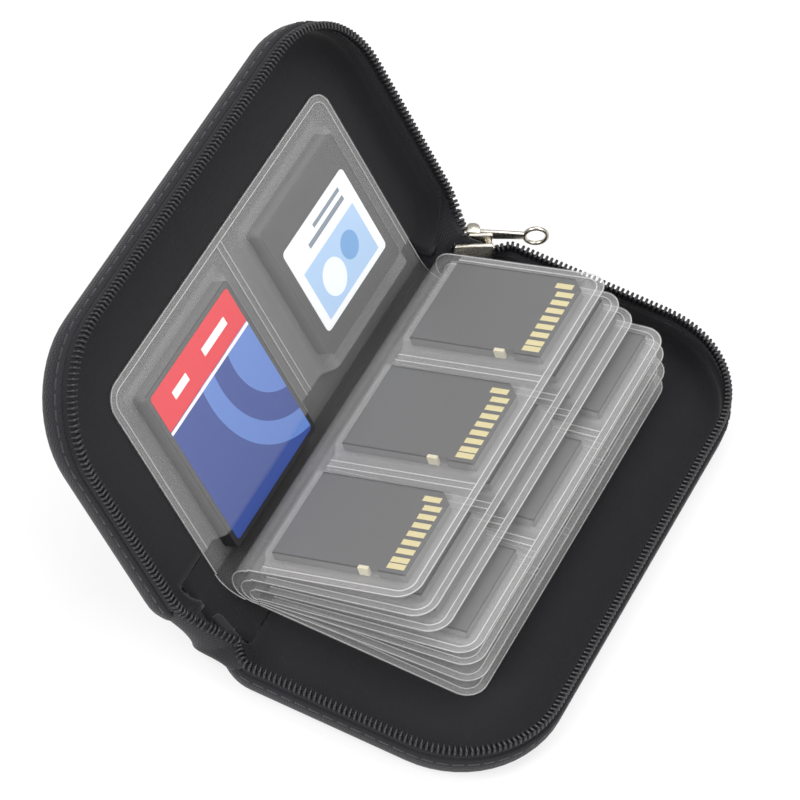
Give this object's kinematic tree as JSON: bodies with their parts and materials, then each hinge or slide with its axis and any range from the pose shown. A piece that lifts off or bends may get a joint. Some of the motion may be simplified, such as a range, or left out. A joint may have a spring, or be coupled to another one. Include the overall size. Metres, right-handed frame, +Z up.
{
  "type": "memory card case",
  "caption": "Zip-round fabric wallet lying open, with a sewn booklet of clear pocket leaves that hold memory cards.",
  "frame": {"origin": "middle of the flat underside of the base", "axes": "+X from the spine to the free edge of the base, +Y along the spine to the zip slider, +Z up"},
  "size_m": [0.1179, 0.1351, 0.0696],
  "materials": {
    "cover_fabric": "black woven nylon",
    "lining_fabric": "black lining cloth",
    "zip_black": "black zip tape",
    "coil_black": "black nylon coil",
    "nickel": "nickel plate",
    "clear_film": "frosted clear vinyl",
    "card_black": "dark grey plastic",
    "contact_gold": "gold plate",
    "tab_pale": "pale plastic",
    "wide_label": "printed label",
    "square_label": "printed label",
    "thread": "sewing thread"
  },
  "bodies": {
    "base": {"base_panel": "cover_fabric", "base_wall": "cover_fabric", "base_lining": "lining_fabric", "base_zip_tape": "zip_black", "base_zip_coil": "coil_black", "spine_panel": "cover_fabric", "spine_lining": "lining_fabric", "outer_sheet_fold": "clear_film", "sheet_2_fold": "clear_film", "sheet_3_fold": "clear_film", "sheet_4_fold": "clear_film", "binding_stitches": "thread", "zip_tail": "zip_black", "zip_end_tab": "zip_black"},
    "lid": {"lid_panel": "cover_fabric", "lid_wall": "cover_fabric", "lid_lining": "lining_fabric", "lid_zip_tape": "zip_black", "lid_zip_coil": "coil_black"},
    "slider": {"zip_slider": "nickel"},
    "pull": {"zip_pull": "nickel"},
    "leaf_1": {"leaf_1_back_film": "clear_film", "leaf_1_front_film": "clear_film"},
    "wide_card": {"wide_card": "card_black", "wide_card_label": "wide_label"},
    "square_card": {"square_card": "card_black", "square_card_label": "square_label"},
    "leaf_2": {"leaf_2_back_film": "clear_film", "leaf_2_front_film": "clear_film"},
    "top_card_1": {"top_card_1": "card_black", "top_card_1_contacts": "contact_gold", "top_card_1_lock_tab": "tab_pale"},
    "top_card_2": {"top_card_2": "card_black", "top_card_2_contacts": "contact_gold", "top_card_2_lock_tab": "tab_pale"},
    "top_card_3": {"top_card_3": "card_black", "top_card_3_contacts": "contact_gold", "top_card_3_lock_tab": "tab_pale"},
    "leaf_3": {"leaf_3_back_film": "clear_film", "leaf_3_front_film": "clear_film", "leaf_3_cards": "card_black"},
    "leaf_4": {"leaf_4_back_film": "clear_film", "leaf_4_front_film": "clear_film", "leaf_4_cards": "card_black"},
    "leaf_5": {"leaf_5_back_film": "clear_film", "leaf_5_front_film": "clear_film", "leaf_5_cards": "card_black"},
    "leaf_6": {"leaf_6_back_film": "clear_film", "leaf_6_front_film": "clear_film"},
    "leaf_7": {"leaf_7_back_film": "clear_film", "leaf_7_front_film": "clear_film"},
    "leaf_8": {"leaf_8_back_film": "clear_film", "leaf_8_front_film": "clear_film"}
  },
  "joints": [
    {"name": "case_fold", "type": "hinge", "parent": "base", "child": "lid", "pos_m": [-0.0357, 0, 0.011], "axis": [0, -1, 0], "range_deg": [-124, 21], "deforming": ["spine_panel", "spine_lining", "outer_sheet_fold", "sheet_2_fold", "sheet_3_fold", "sheet_4_fold"]},
    {"name": "leaf_2_fan", "type": "hinge", "parent": "base", "child": "leaf_2", "pos_m": [-0.03599, 0, 0.0119], "axis": [0, -1, 0], "range_deg": [-22, 3.73]},
    {"name": "leaf_3_fan", "type": "hinge", "parent": "base", "child": "leaf_3", "pos_m": [-0.03495, 0, 0.0092], "axis": [0, -1, 0], "range_deg": [-18.6, 3.15]},
    {"name": "leaf_4_fan", "type": "hinge", "parent": "base", "child": "leaf_4", "pos_m": [-0.03391, 0, 0.0065], "axis": [0, -1, 0], "range_deg": [-17, 2.88]},
    {"name": "leaf_5_fan", "type": "hinge", "parent": "base", "child": "leaf_5", "pos_m": [-0.03288, 0, 0.0038], "axis": [0, -1, 0], "range_deg": [-15, 2.54]},
    {"name": "leaf_6_fan", "type": "hinge", "parent": "base", "child": "leaf_6", "pos_m": [-0.03265, 0, 0.0032], "axis": [0, -1, 0], "range_deg": [-11.2, 1.9]},
    {"name": "leaf_7_fan", "type": "hinge", "parent": "base", "child": "leaf_7", "pos_m": [-0.03241, 0, 0.0026], "axis": [0, -1, 0], "range_deg": [-5.6, 0.95]},
    {"name": "leaf_8_fan", "type": "hinge", "parent": "base", "child": "leaf_8", "pos_m": [-0.0351, 0, 0.002], "axis": [0, -1, 0], "range_deg": [-0.201, 0.0349]},
    {"name": "top_card_1_slide", "type": "slide", "parent": "leaf_2", "child": "top_card_1", "axis": [-0.9272, 0, -0.3746], "range_m": [0, 0.0016]},
    {"name": "top_card_2_slide", "type": "slide", "parent": "leaf_2", "child": "top_card_2", "axis": [-0.9272, 0, -0.3746], "range_m": [0, 0.0016]},
    {"name": "top_card_3_slide", "type": "slide", "parent": "leaf_2", "child": "top_card_3", "axis": [-0.9272, 0, -0.3746], "range_m": [0, 0.0016]},
    {"name": "leaf_1_turn", "type": "hinge", "parent": "lid", "child": "leaf_1", "pos_m": [-0.04316, 0, 0.00597], "axis": [0, 1, 0], "range_deg": [0, 40]},
    {"name": "wide_card_slide", "type": "slide", "parent": "leaf_1", "child": "wide_card", "axis": [0.5592, 0, -0.829], "range_m": [0, 0.0014]},
    {"name": "square_card_slide", "type": "slide", "parent": "leaf_1", "child": "square_card", "axis": [0.5592, 0, -0.829], "range_m": [0, 0.005]},
    {"name": "zip_slide", "type": "slide", "parent": "base", "child": "slider", "axis": [0.887, 0.4617, 0], "range_m": [0, 0.0025]},
    {"name": "pull_swivel", "type": "hinge", "parent": "slider", "child": "pull", "pos_m": [-0.03474, 0.06185, 0.011], "axis": [0, 0, 1], "range_deg": [0, 100]}
  ],
  "couplings": [
    {"joint": "leaf_2_fan", "follows": "case_fold", "ratio": 0.17742},
    {"joint": "leaf_3_fan", "follows": "case_fold", "ratio": 0.15},
    {"joint": "leaf_4_fan", "follows": "case_fold", "ratio": 0.1371},
    {"joint": "leaf_5_fan", "follows": "case_fold", "ratio": 0.12097},
    {"joint": "leaf_6_fan", "follows": "case_fold", "ratio": 0.090323},
    {"joint": "leaf_7_fan", "follows": "case_fold", "ratio": 0.045161},
    {"joint": "leaf_8_fan", "follows": "case_fold", "ratio": 0.0016129}
  ]
}
